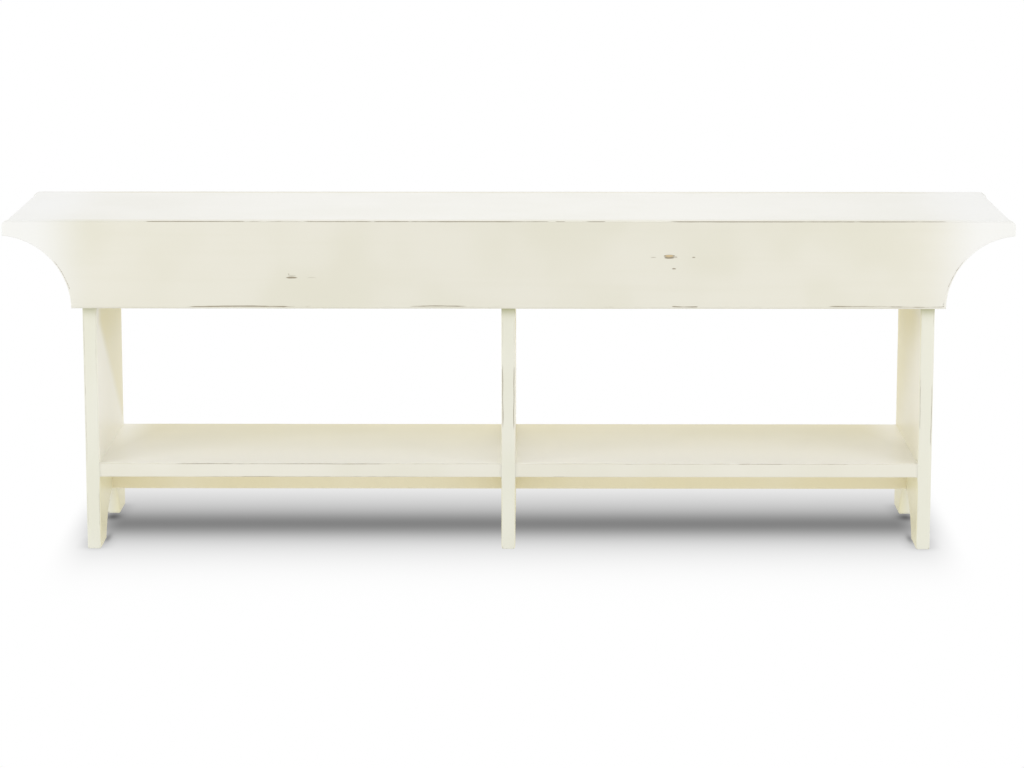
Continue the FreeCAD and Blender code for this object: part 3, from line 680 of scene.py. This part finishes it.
def end_light(x):
    """How far the painted light has grown towards the bench's ends, on a smooth step."""
    return smooth((np.abs(x) - END_LIGHT_FROM) / (END_LIGHT_TO - END_LIGHT_FROM))


def seat():
    """The seat board, a ruled grid from its front edge to its rear edge."""
    start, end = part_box("seat_board")
    along = spaced(start.x, end.x, BOARD_STEP)
    low, high = chain(along, start.y), chain(along, end.y)
    rows = edge_rows(end.y - start.y, BOARD_STEP * SEAT_ROW_STRETCH)

    def arris(outline, face):
        at_end = np.abs(outline[:, 0]) > end.x - BOARD_EASE / 2
        return np.where(at_end, BOARD_EASE, SEAM_EASE), BOARD_WEAR_TURN, BOARD_WEAR_SPREAD

    def marks(point, weight):
        at_end = np.abs(point[:, 0]) > end.x - 2 * BOARD_EASE
        # Painted light over the seat, stronger towards its ends
        overlay = SEAT_LIGHT + (SEAT_END_LIGHT - SEAT_LIGHT) * end_light(point[:, 0])
        return {"rub": weight * np.where(at_end, SEAT_END_RUB, SEAT_SEAM_RUB), "fresh": overlay}

    piece = plank("seat_board_painted", low, high, rows, (X, Y, Z), (end.z, start.z), arris,
                  marks, seed=31)
    piece.data.materials.append(lengthwise_paint)
    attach(piece, "root")
    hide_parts("seat_board")


seat()


# The aprons are deep boards on edge along the seat. Each end is sawn to a cove below a blunt
# rounded tip. Finish nails are set below the face and filled, which leaves faint dimples.
# The arrises are rubbed through in stretches, and the front one has chips over its knots.
COVE_RADIUS = 0.100
COVE_BEYOND_TIP = 0.008
TIP_ROUND = 0.008
# The share of painted light, a whiter tint, at the aprons' tips
TIP_LIGHT = 0.62
COVE_STEPS = 30
TIP_STEPS = 6
APRON_STEP = 0.0045
APRON_ROW_STRETCH = 1.3
# Closer stations at the nails and chips: how far they reach, and how much closer they are
FINE_REACH = 0.005
FINE_GAIN = 3.0
TOP_EASE = 0.0026
FOOT_EASE = 0.0042
COVE_EASE = 0.0026
# The foot's ease thins to the cove's ease from this far past the corner, over this length
FOOT_EASE_PAST = 0.007
FOOT_EASE_REACH = 0.006
# No station lies closer to the corner of the foot and the cove than this many eases
CORNER_GAP = 1.35
TOP_WEAR_TURN = 60.0
FOOT_WEAR_TURN = 8.0
TOP_WEAR_SPREAD = 26.0
FOOT_WEAR_SPREAD = 15.0
# The nails by their shares of the length, and by their shares of the height in front of a leg
NAIL_SHARES = (-0.455, -0.325, -0.195, -0.065, 0.065, 0.195, 0.325, 0.455)
NAIL_UNDER_TOP = 0.0095
LEG_NAIL_SHARES = (0.25, 0.6)
DIMPLE_WIDTH = 0.0026
DIMPLE_DEPTH = 0.00018
TOP_WORN = (
    (-0.439, 0.050, 1.0), (-0.373, 0.016, 0.70), (-0.317, 0.040, 0.42), (-0.229, 0.047, 0.68),
    (-0.158, 0.024, 0.85), (-0.116, 0.018, 0.65), (-0.045, 0.053, 1.0), (0.0315, 0.0235, 0.6),
    (0.0715, 0.007, 0.6), (0.119, 0.012, 0.75), (0.3135, 0.0905, 1.0), (0.438, 0.034, 0.72),
    (0.5055, 0.034, 0.95), (0.564, 0.026, 0.65),
)
FOOT_WORN = (
    (-0.3645, 0.070, 0.85), (-0.283, 0.016, 0.42), (-0.0965, 0.041, 0.68), (0.2395, 0.018, 0.80),
    (0.470, 0.036, 0.66), (0.545, 0.046, 0.60), (0.040, 0.350, 0.30),
)
COVE_WORN = ((0.383, 0.022, 0.6),)
REAR_TOP_WORN = (
    (-0.510, 0.060, 0.8), (-0.160, 0.090, 0.9), (0.240, 0.070, 0.7), (0.540, 0.050, 0.9),
)
REAR_FOOT_WORN = ((-0.420, 0.090, 0.9), (0.060, 0.060, 0.7), (0.390, 0.050, 0.9))
# Chips: their place along and up the face, their half widths, their depth and how bare they are
CHIPS = (
    (-0.2933, 0.3809, 0.0086, 0.0014, 0.0004, 0.85),
    (-0.2930, 0.3835, 0.0074, 0.0013, 0.0002, 0.58),
    (-0.2976, 0.3856, 0.0016, 0.0022, 0.0002, 0.58),
    (-0.2659, 0.3809, 0.0096, 0.0008, 0.0001, 0.64),
    (0.2180, 0.4086, 0.0068, 0.0014, 0.0004, 1.05),
    (0.2178, 0.4110, 0.0070, 0.0014, 0.0003, 1.30),
    (0.2262, 0.4094, 0.0040, 0.0020, 0.0002, 0.62),
    (0.1962, 0.4090, 0.0058, 0.0010, 0.0001, 0.64),
    (0.2508, 0.4090, 0.0032, 0.0011, 0.0001, 0.66),
    (0.2244, 0.3935, 0.0034, 0.0017, 0.0002, 0.68),
    (0.5890, 0.3415, 0.0016, 0.0016, 0.0001, 0.80),
)


def apron(node, seed, outer_face, inner_face, top_worn, foot_marks, chips):
    """One apron. Its lower chain follows a cove at each end: the arc of a circle whose centre
    is level with the board's foot and a little past the tip. Its upper chain rounds the tips."""
    start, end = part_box(node)
    foot, top, half = start.z, end.z, end.x
    centre = half + COVE_BEYOND_TIP
    edge = centre - COVE_RADIUS
    tip_start = half - TIP_ROUND
    seat_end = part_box("seat_board")[1].x
    nails = [share * 2 * half for share in NAIL_SHARES]
    legs = [sum(corner.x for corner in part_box(panel)) / 2
            for panel in ("left_end_panel", "centre_panel", "right_end_panel")]
    leg_heights = [foot + share * (top - foot) for share in LEG_NAIL_SHARES]
    near = nails + legs + [chip[0] for chip in chips]
    straight = spaced(-edge, edge, APRON_STEP, near, FINE_REACH, FINE_GAIN)
    corner_gap = CORNER_GAP * FOOT_EASE
    clear = np.abs(straight) < edge - corner_gap
    clear[[0, -1]] = True
    straight = straight[clear]
    first = math.asin(corner_gap / COVE_RADIUS)
    last = math.acos(COVE_BEYOND_TIP / COVE_RADIUS)
    swing = np.linspace(first, last, COVE_STEPS + TIP_STEPS)
    cove = np.stack([centre - COVE_RADIUS * np.cos(swing), foot + COVE_RADIUS * np.sin(swing)], axis=1)
    bend = np.linspace(0, math.pi / 2, TIP_STEPS + 1)[1:]
    over_x = np.concatenate([np.linspace(edge, tip_start, COVE_STEPS + 1)[1:],
                             tip_start + TIP_ROUND * np.sin(bend)])
    over_z = np.concatenate([np.full(COVE_STEPS, top), top - TIP_ROUND * (1 - np.cos(bend))])
    over = np.stack([over_x, over_z], axis=1)
    under = chain(straight, foot)
    low = np.concatenate([cove[::-1] * (-1, 1), under, cove])
    high = np.concatenate([over[::-1] * (-1, 1), under + (0, top - foot), over])
    heights = [chip[1] - foot for chip in chips] + [z - foot for z in leg_heights]
    rows = edge_rows(top - foot, APRON_STEP * APRON_ROW_STRETCH, heights)

    def arris(outline, face):
        x, level = np.abs(outline[:, 0]), outline[:, 1]
        upper = level > top - 2 * TIP_ROUND
        inside = np.clip((edge + FOOT_EASE_PAST - x) / FOOT_EASE_REACH, 0, 1)
        ease = np.where(upper, TOP_EASE, COVE_EASE + (FOOT_EASE - COVE_EASE) * inside)
        if face == inner_face:
            ease = np.where((level > top - TIP_ROUND / 2) & (x < seat_end), SEAM_EASE, ease)
        return (ease, np.where(upper, TOP_WEAR_TURN, FOOT_WEAR_TURN),
                np.where(upper, TOP_WEAR_SPREAD, FOOT_WEAR_SPREAD))

    def marks(point, weight):
        x, y, z = point.T
        outside = np.abs(y - outer_face) < np.abs(y - inner_face)
        arris_worn = np.where(z > (top + foot) / 2, worn(x, top_worn), worn(x, foot_marks))
        in_cove = (np.abs(x) > edge) & (z < top - TIP_ROUND)
        arris_worn = np.where(in_cove, worn(z, COVE_WORN), arris_worn)
        strength = rubbed(weight, np.where(outside, arris_worn, 0.0))
        for place_x, place_z, wide, tall, _, bare in chips:
            off_centre = ((x - place_x) / wide) ** 2 + ((z - place_z) / tall) ** 2
            bell = np.exp(-(off_centre**2) / 2)
            strength = np.where(outside, np.maximum(strength, bare * bell), strength)
        return {"rub": strength, "fresh": TIP_LIGHT * end_light(x)}

    dents = [(x, top - NAIL_UNDER_TOP, DIMPLE_WIDTH, DIMPLE_WIDTH, DIMPLE_DEPTH) for x in nails]
    dents += [(x, z, DIMPLE_WIDTH, DIMPLE_WIDTH, DIMPLE_DEPTH) for x in legs for z in leg_heights]
    dents += [chip[:5] for chip in chips]
    piece = plank(f"{node}_painted", low, high, rows, (X, Z, Y), (outer_face, inner_face), arris,
                  marks, seed, dents)
    piece.data.materials.append(lengthwise_paint)
    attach(piece, "root")
    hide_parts(node)


front_low, front_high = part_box("front_apron")
rear_low, rear_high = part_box("rear_apron")
apron("front_apron", seed=41, outer_face=front_low.y, inner_face=front_high.y,
      top_worn=TOP_WORN, foot_marks=FOOT_WORN, chips=CHIPS)
apron("rear_apron", seed=42, outer_face=rear_high.y, inner_face=rear_low.y,
      top_worn=REAR_TOP_WORN, foot_marks=REAR_FOOT_WORN, chips=())


# The nails are bright drawn steel wire, sunk in the boards. The screws are slotted steel
# wood screws with a thin zinc plate, yellowish and a little brighter than the wire.
WIRE = linear("#8F8E8A")
ZINC = linear("#B5AE98")
WIRE_ROUGHNESS = 0.34
ZINC_ROUGHNESS = 0.30
# The lines of drawing and plating, coarser than real ones so that they show
LINE_PITCH = 0.0004
LINE_RUN = 0.012
LINE_DETAIL = 2.0
LINE_SMOOTHER = 0.08
LINE_ROUGHER = 0.12
LINE_SHADE = 0.7


def steel(name, colour, roughness):
    """Steel whose roughness and tone vary in fine lines, as drawing and plating leave it."""
    material = bpy.data.materials.new(name)
    tree = new_tree(material)
    place = add_node(tree, "ShaderNodeTexCoord").outputs["Object"]
    scale = (1 / LINE_PITCH, 1 / LINE_PITCH, 1 / LINE_RUN)
    mapped = add_node(tree, "ShaderNodeMapping", {"Vector": place, "Scale": scale}).outputs[0]
    noise = {"Vector": mapped, "Scale": 1.0, "Detail": LINE_DETAIL}
    lines = add_node(tree, "ShaderNodeTexNoise", noise).outputs["Fac"]
    limits = {"Value": lines, "To Min": roughness - LINE_SMOOTHER, "To Max": roughness + LINE_ROUGHER}
    rough = add_node(tree, "ShaderNodeMapRange", limits).outputs[0]
    darker = [LINE_SHADE * share for share in colour[:3]] + [1]
    inputs = {"Factor": lines, MIX_A: colour, MIX_B: darker}
    tint = add_node(tree, "ShaderNodeMix", inputs, data_type="RGBA").outputs[MIX_RESULT]
    finish = {"Base Color": tint, "Metallic": 1.0, "Roughness": rough}
    shader = add_node(tree, "ShaderNodeBsdfPrincipled", finish)
    add_node(tree, "ShaderNodeOutputMaterial", {"Surface": shader.outputs[0]})
    return material


nail_wire = steel("drawn_steel_wire", WIRE, WIRE_ROUGHNESS)
zinc_plate = steel("zinc_plated_steel", ZINC, ZINC_ROUGHNESS)
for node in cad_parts:
    if node.endswith("_nails"):
        dress(node, nail_wire)
    elif node.endswith("_screws"):
        dress(node, zinc_plate)


# The bench stands on a wide lit sheet of white studio paper, which meets a white room. The
# paper throws light up from below, and shows the soft grey shade that gathers under the bench.
FLOOR_REACH = 30.0
PAPER_GLOW = 0.92
# The contact shade where a foot takes up the near space, which only shows at the end legs
CONTACT_REACH = 0.020
CONTACT_DEPTH = 0.35
CONTACT_FROM = 0.30
CONTACT_TO = 0.50
CONTACT_RAYS = 16
# The bands of shade: middle and half width across the depth, how dark, and where the ends fade
SHADE_BANDS = ((0.0075, 0.082, 0.323, 0.548, 0.605), (0.046, 0.213, 0.459, 0.566, 0.634))
# The spots of shade under the end legs: place and half width along X, then along Y, and how dark
SHADE_SPOTS = ((0.570, 0.0130, 0.058, 0.022, 0.65), (0.561, 0.0050, -0.078, 0.028, 0.45))


def showing_rays(tree):
    """One for the rays that show a surface to the eye, straight, in a reflection or through
    glass, and none for those that carry light to another surface."""
    rays = add_node(tree, "ShaderNodeLightPath").outputs
    shown = rays["Is Camera Ray"]
    for kind in ("Is Glossy Ray", "Is Transmission Ray"):
        shown = add_node(tree, "ShaderNodeMath", {0: shown, 1: rays[kind]}, use_clamp=True).outputs[0]
    return shown


def studio_paper():
    """Paper that glows evenly for bounced light. To rays that show it, its white is darkened
    under the bench by a narrow and a broad band of shade, each a bell curve across the depth,
    by bell-shaped spots under the end legs, and where a foot takes up the near space."""
    material = bpy.data.materials.new("studio_paper")
    tree = new_tree(material)

    def bell(source, middle, width):
        """A bell curve: one over e, to the square of the way from its middle in half widths."""
        terms = {0: source, 1: 1 / width, 2: -middle / width}
        off = add_node(tree, "ShaderNodeMath", terms, operation="MULTIPLY_ADD").outputs[0]
        power = add_node(tree, "ShaderNodeMath", {0: off, 1: off}, operation="MULTIPLY").outputs[0]
        terms = {0: 1 / math.e, 1: power}
        return add_node(tree, "ShaderNodeMath", terms, operation="POWER").outputs[0]

    spot = add_node(tree, "ShaderNodeNewGeometry").outputs["Position"]
    place = add_node(tree, "ShaderNodeSeparateXYZ", {"Vector": spot}).outputs
    aside = add_node(tree, "ShaderNodeMath", {0: place["X"]}, operation="ABSOLUTE").outputs[0]
    shade = 1.0
    for middle, width, depth, full, none in SHADE_BANDS:
        limits = {"Value": aside, "From Min": full, "From Max": none, "To Min": -depth, "To Max": 0.0}
        ends = add_node(tree, "ShaderNodeMapRange", limits, interpolation_type="SMOOTHSTEP")
        terms = {0: bell(place["Y"], middle, width), 1: ends.outputs[0], 2: shade}
        shade = add_node(tree, "ShaderNodeMath", terms, operation="MULTIPLY_ADD").outputs[0]

    darkening = []
    for middle_x, width_x, middle_y, width_y, depth in SHADE_SPOTS:
        darkening.append((bell(aside, middle_x, width_x), bell(place["Y"], middle_y, width_y), depth))
    contact = add_node(tree, "ShaderNodeAmbientOcclusion", {"Distance": CONTACT_REACH},
                       samples=CONTACT_RAYS)
    terms = {0: 1.0, 1: contact.outputs["AO"]}
    closed = add_node(tree, "ShaderNodeMath", terms, operation="SUBTRACT").outputs[0]
    limits = {"Value": aside, "From Min": CONTACT_FROM, "From Max": CONTACT_TO}
    near_ends = add_node(tree, "ShaderNodeMapRange", limits).outputs[0]
    darkening.append((closed, near_ends, CONTACT_DEPTH))
    for one, other, depth in darkening:
        both = add_node(tree, "ShaderNodeMath", {0: one, 1: other}, operation="MULTIPLY").outputs[0]
        terms = {0: both, 1: -depth, 2: 1.0}
        kept = add_node(tree, "ShaderNodeMath", terms, operation="MULTIPLY_ADD").outputs[0]
        shade = add_node(tree, "ShaderNodeMath", {0: shade, 1: kept}, operation="MULTIPLY").outputs[0]

    glow = add_node(tree, "ShaderNodeEmission", {"Strength": PAPER_GLOW})
    shown = add_node(tree, "ShaderNodeEmission", {"Strength": shade})
    inputs = {"Fac": showing_rays(tree), 1: glow.outputs[0], 2: shown.outputs[0]}
    mixed = add_node(tree, "ShaderNodeMixShader", inputs)
    add_node(tree, "ShaderNodeOutputMaterial", {"Surface": mixed.outputs[0]})
    return material


sheet = bpy.data.meshes.new("studio_floor")
corners = [(-FLOOR_REACH, -FLOOR_REACH, 0), (FLOOR_REACH, -FLOOR_REACH, 0),
           (FLOOR_REACH, FLOOR_REACH, 0), (-FLOOR_REACH, FLOOR_REACH, 0)]
sheet.from_pydata(corners, [], [(0, 1, 2, 3)])
sheet.materials.append(studio_paper())
floor = bpy.data.objects.new("studio_floor", sheet)
bpy.context.scene.collection.objects.link(floor)


# The light is a white room all round, with a low soft lamp at each front corner and a broad
# one high behind the bench. Only the rear lamp shows as a sheen in the paint.
ROOM_LEVEL = 0.77
AIM = (0.0, 0.0, 0.25)
# The lamps: name, place, width, power in watts, and whether it shows as a sheen
LAMPS = (
    ("right_lamp", (1.7, -1.3, 0.9), 0.8, 7.1, False),
    ("left_lamp", (-1.7, -1.3, 0.9), 0.8, 7.2, False),
    ("rear_lamp", (0.0, 2.0, 2.4), 1.4, 16.2, True),
)

room = bpy.data.worlds.new("white_room")
bpy.context.scene.world = room
tree = new_tree(room)
level = {"Value": showing_rays(tree), "To Min": ROOM_LEVEL, "To Max": 1.0}
strength = add_node(tree, "ShaderNodeMapRange", level).outputs[0]
glow = add_node(tree, "ShaderNodeBackground", {"Color": (1, 1, 1, 1), "Strength": strength})
add_node(tree, "ShaderNodeOutputWorld", {"Surface": glow.outputs[0]})

for name, spot, width, power, sheen in LAMPS:
    lamp = bpy.data.lights.new(name, "AREA")
    lamp.shape = "SQUARE"
    lamp.size = width
    lamp.energy = power
    stand = bpy.data.objects.new(name, lamp)
    stand.location = spot
    stand.visible_glossy = sheen
    towards = [goal - place for goal, place in zip(AIM, spot)]
    level_reach = math.hypot(towards[0], towards[1])
    pitch = math.atan2(level_reach, -towards[2])
    stand.rotation_euler = (pitch, 0.0, math.atan2(-towards[0], towards[1]))
    bpy.context.scene.collection.objects.link(stand)


# The camera stands a little right of the bench's middle, nearly five metres in front of it
# and at eye height of someone seated, and looks down at it through a long lens.
CAMERA_PLACE = (0.028, -4.755, 1.0755)
CAMERA_PITCH = 10.373
CAMERA_YAW = 0.286
CAMERA_LENS = 120.5
CAMERA_SENSOR = 36.0
camera = bpy.data.cameras.new("camera")
camera.lens = CAMERA_LENS
camera.sensor_width = CAMERA_SENSOR
camera.sensor_fit = "HORIZONTAL"
camera_stand = bpy.data.objects.new("camera", camera)
camera_stand.location = CAMERA_PLACE
camera_stand.rotation_euler = (math.radians(90 - CAMERA_PITCH), 0.0, math.radians(CAMERA_YAW))
bpy.context.scene.collection.objects.link(camera_stand)
bpy.context.scene.camera = camera_stand
bpy.context.scene.view_settings.view_transform = "Standard"
